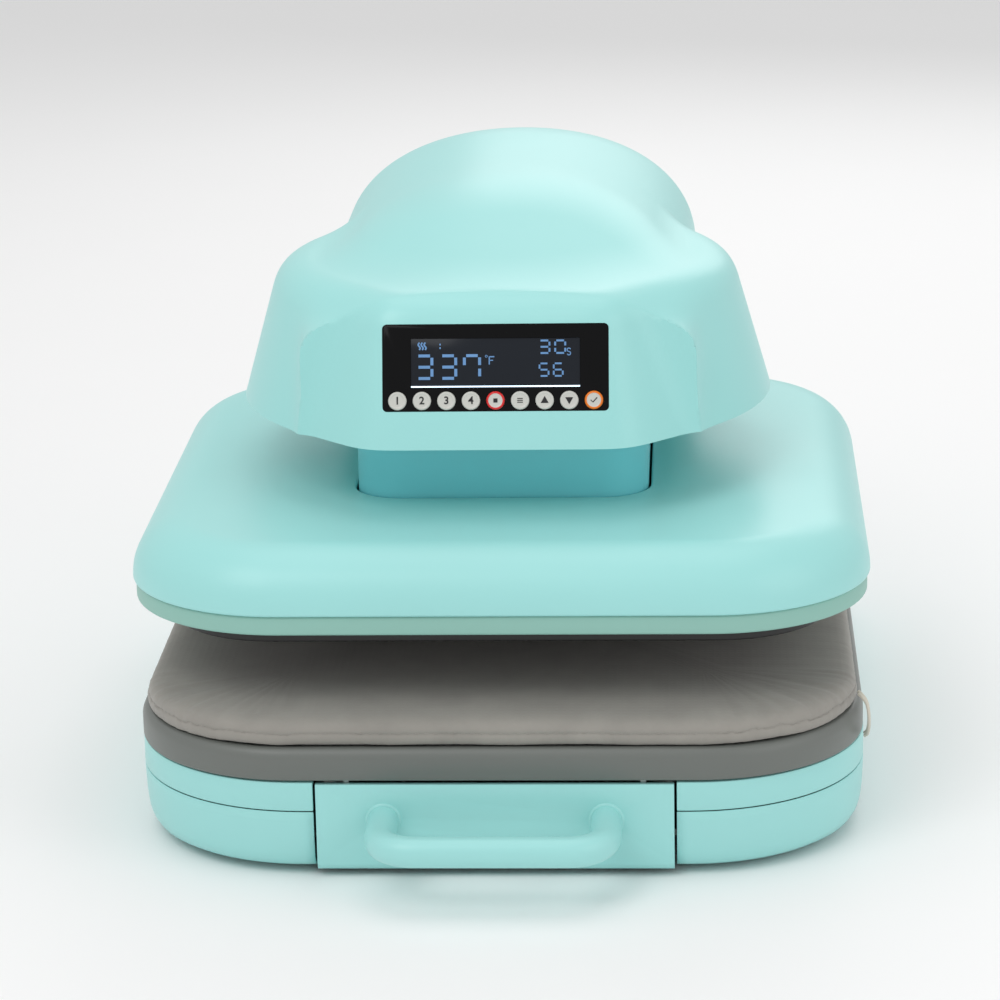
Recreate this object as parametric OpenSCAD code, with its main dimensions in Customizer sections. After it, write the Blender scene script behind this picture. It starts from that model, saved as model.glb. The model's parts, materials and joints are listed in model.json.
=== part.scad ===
// Automatic flat heat press with a slide-out lower platen.
// +X is the operator's right, -Y is the front, +Z is up, and the feet stand on z = 0.

/* [Base] */
// Width of the base
base_w = 426; // [426:1:430]
// Front edge of the base
base_front = -250; // [-252:1:-250]
// Rear edge of the base and the column
base_rear = 308; // [308:1:309]
// Top of the base
base_top_z = 57.5; // [57.5:0.1:58]
// Height of the seam between the base's two mouldings
base_seam_z = 40.5; // [38:0.5:44]
// Plan radius of the base's corners
base_corner = 98; // [90:1:104]
// Height of the feet under the base
foot_h = 4; // [3:0.5:4]

/* [Upper platen] */
// Width of the upper platen's cover
cover_w = 434; // [430:1:436]
// Depth of the upper platen's cover
cover_d = 440; // [430:1:442]
// Height of the seam between cover and skirt
seam_z = 149.5; // [149.5:0.5:150]
// Top of the cover
cover_top_z = 186; // [184:1:190]
// Radius of the cover's top edge
cover_edge = 34; // [20:1:34]
// Underside of the heating platen at rest
platen_z = 127; // [127:0.5:128]
// Width of the heating platen
platen_w = 386; // [380:1:390]
// Centre of the press axis, front to back
press_y = -9; // [-10:1:-8]

/* [Head] */
// Radius of the head's lower rim
head_r = 161; // [158:1:164]
// Front of the flat display face at the rim
face_y = -160; // [-162:1:-158]
// Height of the head's lower rim
rim_z = 228.5; // [228.5:0.5:230]
// Height of the ledge round the head
ledge_z = 313; // [311:1:315]
// Draft of the head's sides, in degrees
draft = 16; // [15:0.5:17]
// Top of the arm
arm_top_z = 348; // [344:1:352]
// Half width of the arm and the column
arm_r = 116; // [114:1:118]

/* [Neck] */
// Width of the neck
neck_w = 174; // [170:1:176]
// Depth of the neck
neck_d = 202; // [198:1:204]
// Plan radius of the neck's corners
neck_corner = 27; // [20:1:30]

/* [Drawer] */
// Outer width of the grey trim ring
ring_w = 425; // [423:1:426]
// Depth of the trim ring
ring_d = 440; // [436:1:440]
// Bottom of the trim ring
ring_z = 58.5; // [58.5:0.1:59]
// Height of the trim ring
ring_h = 18.8; // [18:0.1:18.8]
// Top of the covered pad
pad_top_z = 95; // [93:0.5:95]
// Distance between the handle's two posts
handle_span = 127; // [120:1:130]
// Diameter of the handle's bar
handle_dia = 17.5; // [16:0.5:18]
// Distance from the drawer front to the middle of the handle's bar
handle_reach = 49.2; // [46:0.1:49.2]

/* [Display] */
// Width of the display's bezel
bezel_w = 130.6; // [128:0.1:132]
// Height of the display's bezel
bezel_h = 50.2; // [49:0.1:51]
// Distance between neighbouring keys
key_pitch = 14.2; // [14:0.1:14.3]
// Diameter of a key
key_dia = 10.7; // [10:0.1:10.8]

/* [Hidden] */
$fn = 64;
wall = 3;
eps = 0.05;
neck_split_y = press_y - neck_d / 2 + neck_corner + 4;

base_d = base_rear - base_front;
base_y = (base_rear + base_front) / 2;
slot_w = 207;
slot_rear = 142;
floor_z = foot_h + 4;
deck_h = 3;

frame_plate_h = 4;
post_x = 45;
post_t = 6;
post_front = 222;
post_rear = 285;
beam_z = 268;
beam_h = 6;
column_front = 214;
column_y = base_rear - arm_r;

crown_z = 270;
crown_h = arm_top_z - crown_z;
nose_front = -111;
nose_run = 4.05;
ledge_edge = 14;
console_x = 68;
console_r = 20;

panel_z = 88;
panel_y = 298;
panel_w = 76;
panel_h = 60;
inlet_x = -15;
rocker_x = 22;
rocker_tilt = 10;

ring_y = base_front + ring_d / 2;
ring_wall = 10;
tray_h = 3.5;
tray_w = ring_w - 2 * ring_wall;
tray_d = ring_d - 2 * ring_wall;
ring_top_z = ring_z + ring_h;
plate_h = ring_top_z + 0.3 - ring_z - tray_h;
pad_w = 412;
pad_d = 426;
pad_corner = 88;
fabric = 1.2;
web_x = 83;
rail_z = 34;
rail_front = -235;
rail_rear = 150;

front_w = 204;
front_t = 4;
handle_z = 35;
bend_r = 18;

platen_h = 11;
heater_h = 2;
insulation_h = 12;
press_plate_h = 6;
platen_d = platen_w + 6;
heater_z = platen_z + platen_h;
insulation_z = heater_z + heater_h;
press_plate_z = insulation_z + insulation_h;
ram_z = press_plate_z + press_plate_h;
neck_top_z = 263;
rod_x = 60;
rod_r = 8;
rod_top_z = 306;
screw_r = 8;
screw_bottom_z = 165;
screw_top_z = 286;
nut_z = 200;
nut_h = 22;
running_gap = 0.05;
gearbox_h = 30;

face_slant = 47.5;
bezel_t = 2;
window_w = 98;
window_h = 28.3;
window_v = 2.9;
key_row_v = -19;
key_gap = 0.15;
key_count = 9;

cord_r = 1;
cord_sides = 8;
string_routes = [
    [[209, -178, 85], [211, -181, 84], [213.4, -184, 81], [214.4, -186, 76],
     [214.6, -186, 71], [214.5, -184, 66], [214, -181, 62], [212.6, -179, 60]],
    [[209, -173, 85], [211, -176, 84], [213.4, -179, 81], [214.5, -181, 76],
     [214.8, -181, 71], [214.6, -179, 66], [214, -176, 62], [212.6, -174, 60]]
];

KEYS = [for (i = [1 : key_count]) str("key_", i)];

// ---- shared shapes ----

module rounded_rect(w, d, r) {
    square([w - 2 * r, d], center = true);
    square([w, d - 2 * r], center = true);
    for (x = [-1, 1], y = [-1, 1])
        translate([x * (w / 2 - r), y * (d / 2 - r)]) circle(r);
}

module slab(w, d, r, h) {
    linear_extrude(h) rounded_rect(w, d, r);
}

// A block centred in X on the given span of Y and Z.
module bar(w, y0, y1, z0, z1) {
    translate([-w / 2, y0, z0]) cube([w, y1 - y0, z1 - z0]);
}

// One outline of the given size, as a sheet for a hull.
module sheet(w, d, r, z) {
    translate([0, 0, z])
        linear_extrude(eps)
            for (x = [-1, 1], y = [-1, 1])
                translate([x * (w / 2 - r), y * (d / 2 - r)]) circle(r, $fn = 48);
}

// The arm and column's plan, square at the front and round at the rear.
module column_plan(r) {
    intersection() {
        translate([0, column_y]) circle(r);
        translate([-r, column_front + arm_r - r]) square([2 * r, 2 * r]);
    }
}

// Local X runs across the display face, Y up it and Z out of it.
module on_face() {
    translate([0, face_y + face_slant * sin(draft), rim_z + face_slant * cos(draft)])
        rotate([90 - draft, 0, 0]) children();
}

// A round tube swept along a route, with flat ends.
function unit(v) = v / norm(v);
function tangent(p, i) =
    unit(p[min(i + 1, len(p) - 1)] - p[max(i - 1, 0)]);
function side_of(t) = unit(cross(t, [0, 1, 0]));
function cord_ring(p, i, r) =
    let (t = tangent(p, i), a = side_of(t), b = cross(t, a))
    [for (k = [0 : cord_sides - 1])
        p[i] + r * (cos(360 * k / cord_sides) * a + sin(360 * k / cord_sides) * b)];

module swept_cord(p, r) {
    n = cord_sides;
    last = len(p) - 1;
    points = [for (i = [0 : last]) each cord_ring(p, i, r)];
    sides = [for (i = [0 : last - 1], k = [0 : n - 1])
        [i * n + k, i * n + (k + 1) % n, (i + 1) * n + (k + 1) % n, (i + 1) * n + k]];
    caps = [[for (k = [n - 1 : -1 : 0]) k], [for (k = [0 : n - 1]) last * n + k]];
    polyhedron(points, concat(sides, caps));
}

// ---- base ----

module base_bowl() {
    color("paleturquoise") difference() {
        hull() {
            for (s = [[13, foot_h], [6, foot_h + 3], [2.5, foot_h + 9], [0.5, foot_h + 20], [0, base_seam_z - 0.5]])
                translate([0, base_y, 0])
                    sheet(base_w - 2 * s[0], base_d - 2 * s[0], base_corner + 5 - s[0], s[1]);
        }
        translate([0, base_y, floor_z]) slab(base_w - 26, base_d - 26, base_corner - 9, base_seam_z);
        bar(slot_w, base_front - 1, base_front + 30, 0, base_seam_z + 1);
    }
}

module base_top() {
    color("paleturquoise") difference() {
        translate([0, base_y, base_seam_z]) slab(base_w, base_d, base_corner + 5, base_top_z - base_seam_z);
        translate([0, base_y, base_seam_z - 1])
            slab(base_w - 2 * wall, base_d - 2 * wall, base_corner + 2, base_top_z - base_seam_z + 1 - deck_h);
        bar(slot_w, base_front - 1, slot_rear, base_seam_z - 1, base_top_z + 1);
        bar(2 * post_x + 12, post_front - 6, post_rear + 3, base_seam_z, base_top_z + 1);
    }
}

module base_plate() {
    color("silver") {
        bar(340, -205, 250, floor_z, floor_z + frame_plate_h);
        bar(236, 249, 292, floor_z, floor_z + frame_plate_h);
    }
}

module feet() {
    color("dimgray")
        for (x = [-150, 150], y = [-190, 245])
            translate([x, y, 0]) cylinder(r = 14, h = foot_h);
}

module rail_brackets() {
    color("silver")
        for (x = [-99.9, 99.9])
            translate([x, 0, 0]) bar(3, rail_front + 30, rail_rear, floor_z + frame_plate_h, 50);
}

module outer_rail() {
    bar(10, rail_front + 30, rail_rear, rail_z - 8, rail_z - 5.5);
    bar(10, rail_front + 30, rail_rear, rail_z + 5.5, rail_z + 8);
    translate([3.5, 0, 0]) bar(3, rail_front + 30, rail_rear, rail_z - 8, rail_z + 8);
}

module outer_rails() {
    color("lightgray") {
        translate([93.4, 0, 0]) outer_rail();
        mirror([1, 0, 0]) translate([93.4, 0, 0]) outer_rail();
    }
}

// ---- column and arm ----

module column_frame() {
    color("silver") {
        for (x = [-1, 1])
            translate([x * (post_x - post_t / 2), 0, 0])
                bar(post_t, post_front, post_rear, floor_z + frame_plate_h, beam_z);
        difference() {
            bar(2 * post_x - 2 * post_t, post_rear - 4, post_rear, 40, 230);
            bar(panel_w, post_rear - 5, post_rear + 1, panel_z - panel_h / 2, panel_z + panel_h / 2);
        }
    }
}

module column_cover() {
    color("paleturquoise") difference() {
        translate([0, 0, base_top_z]) linear_extrude(rim_z - base_top_z) column_plan(arm_r);
        translate([0, 0, base_top_z - 1]) linear_extrude(rim_z - base_top_z + 2) column_plan(arm_r - wall);
        bar(panel_w, panel_y - 10, base_rear + 1, panel_z - panel_h / 2, panel_z + panel_h / 2);
    }
}

module rear_panel() {
    color("dimgray") difference() {
        bar(panel_w, panel_y, panel_y + 3, panel_z - panel_h / 2, panel_z + panel_h / 2);
        translate([inlet_x, 0, 0]) bar(28, panel_y - 1, panel_y + 4, panel_z - 10, panel_z + 10);
        translate([rocker_x, 0, 0]) bar(19, panel_y - 1, panel_y + 4, panel_z - 13, panel_z + 13);
    }
}

// A recessed three-pin mains inlet with a flange and two ears.
module power_inlet() {
    color("black") translate([inlet_x, 0, 0]) {
        difference() {
            union() {
                bar(40, panel_y + 3, panel_y + 5, panel_z - 14, panel_z + 14);
                bar(28, panel_y - 22, panel_y + 3, panel_z - 10, panel_z + 10);
            }
            bar(24, panel_y - 16, panel_y + 6, panel_z - 8, panel_z + 8);
        }
    }
    color("silver") translate([inlet_x, 0, 0])
        for (p = [[-7, -2], [0, 3], [7, -2]])
            translate([p[0], 0, p[1]])
                bar(2, panel_y - 16, panel_y + 1, panel_z - 2, panel_z + 2);
}

module switch_frame() {
    color("black") translate([rocker_x, 0, 0]) difference() {
        union() {
            bar(22, panel_y + 3, panel_y + 5, panel_z - 15, panel_z + 15);
            bar(19, panel_y - 14, panel_y + 3, panel_z - 13, panel_z + 13);
        }
        bar(15, panel_y - 8, panel_y + 6, panel_z - 11.6, panel_z + 11.6);
        translate([-12, panel_y + 2, panel_z]) rotate([0, 90, 0]) cylinder(r = 1.55, h = 24);
    }
}

module rocker() {
    color("firebrick") translate([rocker_x, panel_y + 2, panel_z]) rotate([rocker_tilt, 0, 0]) {
        difference() {
            union() {
                translate([-7.2, 0, 0]) rotate([0, 90, 0]) cylinder(r = 10.6, h = 14.4);
                translate([-9, 0, 0]) rotate([0, 90, 0]) cylinder(r = 1.5, h = 18);
            }
            translate([-8, -12, -12]) cube([16, 8, 24]);
            translate([-8, 4, -12]) cube([16, 12, 24]);
        }
    }
}

module power_board() {
    color("seagreen") bar(70, 226, 228, 120, 215);
    color("dimgray") bar(40, 228, 250, 150, 200);
}

module arm_beam() {
    color("silver") difference() {
        union() {
            bar(160, -85, column_front, beam_z, beam_z + beam_h);
            bar(2 * post_x, column_front, post_rear, beam_z, beam_z + beam_h);
        }
        translate([0, press_y, beam_z - 1]) cylinder(r = 15, h = beam_h + 2);
        for (x = [-1, 1], y = [-1, 1])
            translate([x * rod_x, press_y + y * rod_x, beam_z - 1]) cylinder(r = 13, h = beam_h + 2);
    }
}

module thrust_bearing() {
    color("gainsboro") translate([0, press_y, beam_z]) difference() {
        cylinder(r = 15, h = beam_h);
        translate([0, 0, -1]) cylinder(r = screw_r + running_gap, h = beam_h + 2);
    }
}

module guide_bushes() {
    color("goldenrod")
        for (x = [-1, 1], y = [-1, 1])
            translate([x * rod_x, press_y + y * rod_x, 0]) difference() {
                union() {
                    translate([0, 0, beam_z - 18]) cylinder(r = 13, h = beam_h + 18);
                    translate([0, 0, beam_z + beam_h]) cylinder(r = 17, h = 3);
                }
                translate([0, 0, beam_z - 19]) cylinder(r = rod_r + running_gap, h = 40);
            }
}

module gearbox() {
    color("slategray") translate([0, press_y, 0]) difference() {
        bar(64, -32, 32, beam_z + beam_h, beam_z + beam_h + gearbox_h);
        translate([0, 0, beam_z]) cylinder(r = screw_r + running_gap, h = screw_top_z - beam_z + 1);
    }
}

module motor() {
    color("dimgray") translate([0, press_y + 32, beam_z + beam_h + 25]) rotate([-90, 0, 0]) {
        cylinder(r = 23, h = 95);
        translate([0, 0, 95]) cylinder(r = 9, h = 6);
    }
}

// ---- head ----

// The round hood with its flat display face; skin is how far inside the outer surface it lies.
module hood_solid(skin) {
    top = ledge_z - skin;
    levels = [for (a = [0, 30, 60, 90]) [top - ledge_edge + ledge_edge * sin(a), ledge_edge * (1 - cos(a))]];
    stations = concat([[rim_z + (skin > 0 ? -1 : eps), 0]], levels);
    for (i = [1 : len(stations) - 1])
        hull() {
            hood_sheet(stations[i - 1], skin);
            hood_sheet(stations[i], skin);
        }
}

module hood_sheet(station, skin) {
    inset = skin + station[1] + (station[0] - rim_z) * tan(draft);
    translate([0, 0, station[0] - eps]) linear_extrude(eps) {
        intersection() {
            translate([0, press_y]) circle(head_r - inset, $fn = 72);
            translate([-head_r, face_y + inset]) square(2 * head_r);
        }
        for (x = [-1, 1])
            translate([x * console_x, face_y + inset + console_r]) circle(console_r, $fn = 32);
    }
}

// The arm: an elliptical crown, a sloping nose and a round rear.
module arm_solid(skin) {
    levels = [for (a = [0, 20, 39, 54, 68, 80]) [crown_z + crown_h * sin(a), arm_r * cos(a)]];
    stations = concat([[rim_z + (skin > 0 ? skin - 4 : eps), arm_r]], levels);
    for (i = [1 : len(stations) - 1])
        hull() {
            arm_sheet(stations[i - 1], skin);
            arm_sheet(stations[i], skin);
        }
}

module arm_sheet(station, skin) {
    r = station[1] - skin;
    front = nose_front + skin + max(0, station[0] - ledge_z) * nose_run;
    translate([0, 0, station[0] - skin - eps]) linear_extrude(eps) {
        translate([0, front + r]) circle(r, $fn = 48);
        translate([0, column_y]) circle(r, $fn = 48);
    }
}

module top_housing() {
    color("paleturquoise") difference() {
        union() {
            hood_solid(0);
            arm_solid(0);
        }
        hood_solid(wall);
        arm_solid(wall);
        on_face() {
            translate([0, 0, -bezel_t]) slab(bezel_w + 0.4, bezel_h + 0.4, 2.5, 10);
            translate([-63, -24.7, -12]) cube([126, 47.2, 20]);
        }
    }
}

module underpan() {
    color("paleturquoise") translate([0, 0, rim_z]) difference() {
        linear_extrude(2.5) {
            intersection() {
                translate([0, press_y]) circle(head_r - wall - 2);
                translate([-head_r, face_y + wall + 2]) square(2 * head_r);
            }
            translate([-arm_r + wall + 2, press_y]) square([2 * (arm_r - wall - 2), column_front - press_y]);
        }
        translate([0, press_y, -1]) slab(neck_w + 5, neck_d + 5, neck_corner + 2.5, 5);
    }
}

// ---- display ----

module display_bezel() {
    color("black") on_face() difference() {
        translate([0, 0, -bezel_t]) slab(bezel_w, bezel_h, 2.3, bezel_t);
        translate([-window_w / 2, window_v - window_h / 2, -bezel_t - 1]) cube([window_w, window_h, 4]);
        for (i = [0 : key_count - 1])
            translate([(i - (key_count - 1) / 2) * key_pitch, key_row_v, -bezel_t - 1])
                cylinder(r = key_dia / 2 + key_gap, h = bezel_t + 2);
    }
}

module lcd_module() {
    color("darkslategray") on_face()
        translate([-window_w / 2, window_v - window_h / 2, -6]) cube([window_w, window_h, 5.6]);
}

module control_board() {
    color("seagreen") on_face() {
        translate([-60, -24, -8]) cube([120, 46, 1.6]);
        for (i = [0 : key_count - 1])
            translate([(i - (key_count - 1) / 2) * key_pitch - 2.5, key_row_v - 2, -6.4]) cube([5, 4, 3]);
    }
}

// Keys count from the operator's left.
module key(i) {
    color("whitesmoke") on_face()
        translate([(i - 1 - (key_count - 1) / 2) * key_pitch, key_row_v, 0]) {
            translate([0, 0, -bezel_t - 0.6]) cylinder(r = key_dia / 2, h = bezel_t + 1.2);
            translate([0, 0, 0.6]) cylinder(r1 = key_dia / 2, r2 = key_dia / 2 - 0.5, h = 0.4);
        }
}

// ---- ram ----

module lead_screw() {
    color("silver") translate([0, press_y, screw_bottom_z]) cylinder(r = screw_r, h = screw_top_z - screw_bottom_z);
}

module lead_nut() {
    color("goldenrod") translate([0, press_y, nut_z]) difference() {
        union() {
            cylinder(r = 14, h = nut_h);
            translate([0, 0, nut_h]) cylinder(r = 24, h = 5);
        }
        translate([0, 0, -1]) cylinder(r = screw_r + running_gap, h = nut_h + 7);
    }
}

module ram_tube() {
    color("gray") translate([0, press_y, ram_z]) difference() {
        cylinder(r = 28, h = nut_z + nut_h - ram_z);
        translate([0, 0, -1]) cylinder(r = 14, h = nut_z + nut_h - ram_z + 2);
    }
}

module guide_rods() {
    color("silver")
        for (x = [-1, 1], y = [-1, 1])
            translate([x * rod_x, press_y + y * rod_x, ram_z]) cylinder(r = rod_r, h = rod_top_z - ram_z);
}

module neck_shell() {
    difference() {
        translate([0, press_y, ram_z]) slab(neck_w, neck_d, neck_corner, neck_top_z - ram_z);
        translate([0, press_y, ram_z - 1]) slab(neck_w - 5, neck_d - 5, neck_corner - 2.5, neck_top_z - ram_z + 2);
    }
}

module neck_front() {
    color("paleturquoise") difference() {
        neck_shell();
        bar(neck_w + 2, neck_split_y, press_y + neck_d, ram_z - 1, neck_top_z + 1);
    }
}

module neck_rear() {
    color("paleturquoise") difference() {
        neck_shell();
        bar(neck_w + 2, press_y - neck_d, neck_split_y + 1, ram_z - 1, neck_top_z + 1);
    }
}

// Heights and insets of the cover's side and rounded top edge, from the seam up.
function cover_levels(skin) =
    let (edge = cover_edge - skin, top = cover_top_z - skin)
    concat(
        [[seam_z - (skin > 0 ? 1 : 0), skin]],
        [for (a = [0, 18, 36, 54, 72, 90]) [top - edge + edge * sin(a) - eps, skin + edge * (1 - cos(a))]]
    );

module cover_solid(skin) {
    levels = cover_levels(skin);
    translate([0, press_y, 0])
        for (i = [1 : len(levels) - 1])
            hull()
                for (s = [levels[i - 1], levels[i]])
                    sheet(cover_w - 2 * s[1], cover_d - 2 * s[1], 94 - s[1], s[0]);
}

module platen_cover() {
    color("paleturquoise") difference() {
        cover_solid(0);
        cover_solid(wall);
        translate([0, press_y, cover_top_z - 10]) slab(neck_w + 2, neck_d + 2, neck_corner + 1, 20);
    }
}

module platen_skirt() {
    color("mediumaquamarine") translate([0, press_y, heater_z]) difference() {
        slab(cover_w - 3.4, cover_d - 3.4, 92.3, seam_z - heater_z);
        translate([0, 0, -1]) slab(platen_w + 8, platen_d + 8, 70, seam_z - heater_z + 2);
    }
}

module press_plate() {
    color("silver") translate([0, press_y, press_plate_z]) difference() {
        slab(360, 366, 50, press_plate_h);
        translate([0, 0, -1]) cylinder(r = 12, h = press_plate_h + 2);
    }
}

module insulation_board() {
    color("beige") translate([0, press_y, insulation_z]) slab(platen_w - 4, platen_d - 4, 63, insulation_h);
}

module heater_element() {
    color("tan") translate([0, press_y, heater_z]) slab(platen_w - 30, platen_d - 30, 50, heater_h);
}

module heating_platen() {
    color("black") translate([0, press_y, platen_z]) slab(platen_w, platen_d, 65, platen_h);
}

module thermostat() {
    color("dimgray") translate([120, press_y + 60, ram_z]) cylinder(r = 9, h = 8);
}

// ---- drawer ----

module drawer_front() {
    color("paleturquoise") difference() {
        union() {
            bar(front_w, base_front, base_front + front_t, foot_h + 5, base_top_z - 1);
            bar(front_w, base_front + 5, base_front + front_t + 5, foot_h, foot_h + 5);
            intersection() {
                translate([-front_w / 2, base_front + 5, foot_h + 5]) rotate([0, 90, 0]) cylinder(r = 5, h = front_w);
                bar(front_w, base_front, base_front + 6, foot_h, foot_h + 5.5);
            }
        }
        for (x = [-1, 1])
            translate([x * handle_span / 2, base_front - 1, handle_z]) rotate([-90, 0, 0]) cylinder(r = 2.6, h = 10);
    }
}

module handle_bend(side) {
    translate([side * (handle_span / 2 - bend_r), bend_r - handle_reach, 0])
        rotate([0, 0, side > 0 ? -90 : 180])
            rotate_extrude(angle = 90) translate([bend_r, 0]) circle(handle_dia / 2);
}

module grab_handle() {
    color("paleturquoise") translate([0, base_front, handle_z]) difference() {
        union() {
            for (x = [-1, 1]) {
                translate([x * handle_span / 2, 0, 0]) rotate([90, 0, 0]) cylinder(r = handle_dia / 2, h = handle_reach - bend_r);
                handle_bend(x);
            }
            translate([bend_r - handle_span / 2, -handle_reach, 0]) rotate([0, 90, 0])
                cylinder(r = handle_dia / 2, h = handle_span - 2 * bend_r);
        }
        for (x = [-1, 1])
            translate([x * handle_span / 2, 1, 0]) rotate([90, 0, 0]) cylinder(r = 2.6, h = 16);
    }
}

module handle_screws() {
    color("silver")
        for (x = [-1, 1])
            translate([x * handle_span / 2, base_front + front_t, handle_z]) {
                rotate([-90, 0, 0]) cylinder(r = 5, h = 3.5);
                rotate([90, 0, 0]) cylinder(r = 2.5, h = front_t + 12);
            }
}

module drawer_tray() {
    color("silver") {
        translate([0, ring_y, ring_z]) slab(tray_w, tray_d, 88, tray_h);
        for (x = [-1, 1])
            translate([x * (web_x + 1.5), 0, 0]) bar(3, base_front + front_t, 130, 18, ring_z);
    }
}

module inner_rails() {
    color("lightgray")
        for (x = [-1, 1])
            translate([x * (web_x + 6.5), 0, 0]) bar(7, rail_front, 130, rail_z - 5, rail_z + 5);
}

module trim_ring() {
    color("gray") translate([0, ring_y, ring_z]) difference() {
        slab(ring_w, ring_d, base_corner, ring_h);
        translate([0, 0, -1]) slab(tray_w, tray_d, 88, ring_h + 2);
    }
}

module lower_platen() {
    color("lightgray") translate([0, ring_y, ring_z + tray_h]) slab(tray_w - 6, tray_d - 6, 85, plate_h);
}

module silicone_pad() {
    color("white") translate([0, ring_y, ring_top_z + 0.3])
        slab(pad_w, pad_d, pad_corner, pad_top_z - fabric - ring_top_z - 0.3);
}

module pad_cover() {
    color("rosybrown") translate([0, ring_y, ring_top_z + 1]) difference() {
        slab(pad_w + 2 * fabric + 4, pad_d + 2 * fabric + 4, pad_corner + 3, pad_top_z - ring_top_z - 1);
        translate([0, 0, -1]) slab(pad_w, pad_d, pad_corner, pad_top_z - fabric - ring_top_z);
    }
}

module drawstring(i) {
    color("ivory") swept_cord(string_routes[i - 1], cord_r);
}

base_bowl();
base_top();
base_plate();
feet();
rail_brackets();
outer_rails();
column_frame();
column_cover();
rear_panel();
power_inlet();
switch_frame();
rocker();
power_board();
arm_beam();
thrust_bearing();
guide_bushes();
gearbox();
motor();
top_housing();
underpan();
display_bezel();
lcd_module();
control_board();
for (i = [1 : key_count])
    key(i);
lead_screw();
lead_nut();
ram_tube();
guide_rods();
neck_front();
neck_rear();
platen_cover();
platen_skirt();
press_plate();
insulation_board();
heater_element();
heating_platen();
thermostat();
drawer_front();
grab_handle();
handle_screws();
drawer_tray();
inner_rails();
trim_ring();
lower_platen();
silicone_pad();
pad_cover();
drawstring(1);  // drawstring_1
drawstring(2);  // drawstring_2
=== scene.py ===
import json
import math

import bmesh
import bpy
import numpy as np
from mathutils import Matrix, Vector, noise


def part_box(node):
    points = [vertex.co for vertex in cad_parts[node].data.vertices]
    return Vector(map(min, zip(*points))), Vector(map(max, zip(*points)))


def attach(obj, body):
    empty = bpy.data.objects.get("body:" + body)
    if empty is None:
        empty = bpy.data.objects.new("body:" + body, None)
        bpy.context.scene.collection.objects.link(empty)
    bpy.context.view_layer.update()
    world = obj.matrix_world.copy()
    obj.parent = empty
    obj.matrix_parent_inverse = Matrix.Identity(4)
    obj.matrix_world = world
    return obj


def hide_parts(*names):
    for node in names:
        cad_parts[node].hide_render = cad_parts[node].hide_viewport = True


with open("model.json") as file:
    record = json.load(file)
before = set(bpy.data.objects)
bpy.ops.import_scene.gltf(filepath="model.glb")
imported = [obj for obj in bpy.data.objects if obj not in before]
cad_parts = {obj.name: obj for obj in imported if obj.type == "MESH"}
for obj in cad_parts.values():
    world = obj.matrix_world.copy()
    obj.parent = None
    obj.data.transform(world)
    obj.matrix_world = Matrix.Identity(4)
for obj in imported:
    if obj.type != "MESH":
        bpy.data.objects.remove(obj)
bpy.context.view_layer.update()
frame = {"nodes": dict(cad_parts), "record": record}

MM = 0.001
DRAFT = math.radians(16)

HEAD_R = 0.161
FACE_CORNER_X = 0.068
FACE_CORNER_R = 0.020
LEDGE_RISE = 0.0845
CROWN_RISE = 0.0415
ARM_R = 0.116
NOSE_SETBACK = 0.047
NOSE_RUN = 4.05
NOSE_SAG = 0.150
HOUSING_WALL = 0.0026
HOUSING_CELL = 0.0024
BOWL_WALL = 0.0028
SLOT_WIDTH = 0.207
BASE_CORNER = 0.103
GLASS_TOP = -0.0004
DIGIT_LIFT = 0.00003
LEGEND_HEIGHT = 0.00071


# ---------------------------------------------------------------- camera and light

def make_camera():
    """The main view: a long lens, 16 degrees down, from slightly right of centre."""
    pitch, yaw, roll = math.radians(16.237), math.radians(3.145), math.radians(-1.186)
    forward = Vector((-math.sin(yaw) * math.cos(pitch), math.cos(yaw) * math.cos(pitch), -math.sin(pitch)))
    right = Vector((math.cos(yaw), math.sin(yaw), 0))
    up = right.cross(forward)
    across = right * math.cos(roll) + up * math.sin(roll)
    upward = up * math.cos(roll) - right * math.sin(roll)
    data = bpy.data.cameras.new("camera")
    data.lens = 134.7
    data.sensor_width = 36
    camera = bpy.data.objects.new("camera", data)
    bpy.context.scene.collection.objects.link(camera)
    turn = Matrix((across, upward, -forward)).transposed().to_4x4()
    camera.matrix_world = Matrix.Translation((0.1160, -2.2378, 0.8044)) @ turn
    bpy.context.scene.camera = camera


def area_light(name, place, target, size, power, colour=(1, 1, 1)):
    data = bpy.data.lights.new(name, "AREA")
    data.shape = "RECTANGLE"
    data.size, data.size_y = size
    data.energy = power
    data.color = colour
    lamp = bpy.data.objects.new(name, data)
    bpy.context.scene.collection.objects.link(lamp)
    lamp.location = place
    lamp.rotation_euler = (Vector(target) - Vector(place)).to_track_quat("-Z", "Y").to_euler()


def make_studio():
    world = bpy.data.worlds.new("studio")
    world.use_nodes = True
    background = world.node_tree.nodes["Background"]
    background.inputs["Color"].default_value = (1.0, 1.0, 1.0, 1)
    background.inputs["Strength"].default_value = 0.68
    bpy.context.scene.world = world
    area_light("key_light", (-0.9, -1.3, 1.9), (0, 0, 0.15), (1.2, 1.2), 11)
    area_light("fill_light", (1.5, -1.0, 1.0), (0, 0, 0.15), (1.2, 1.2), 4)
    area_light("top_light", (0, 0.2, 2.2), (0, 0, 0.2), (1.6, 1.6), 7)
    area_light("rear_light", (0.4, 2.0, 1.2), (0, 0.1, 0.2), (1.4, 1.0), 6)
    bpy.ops.mesh.primitive_plane_add(size=12)
    floor = bpy.context.object
    floor.name = "floor"
    floor.data.materials.append(floor_material())
    bpy.context.scene.view_settings.view_transform = "Standard"


# ---------------------------------------------------------------- materials

def new_material(name):
    material = bpy.data.materials.new(name)
    material.use_nodes = True
    return material, material.node_tree.nodes, material.node_tree.links, material.node_tree.nodes["Principled BSDF"]


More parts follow.
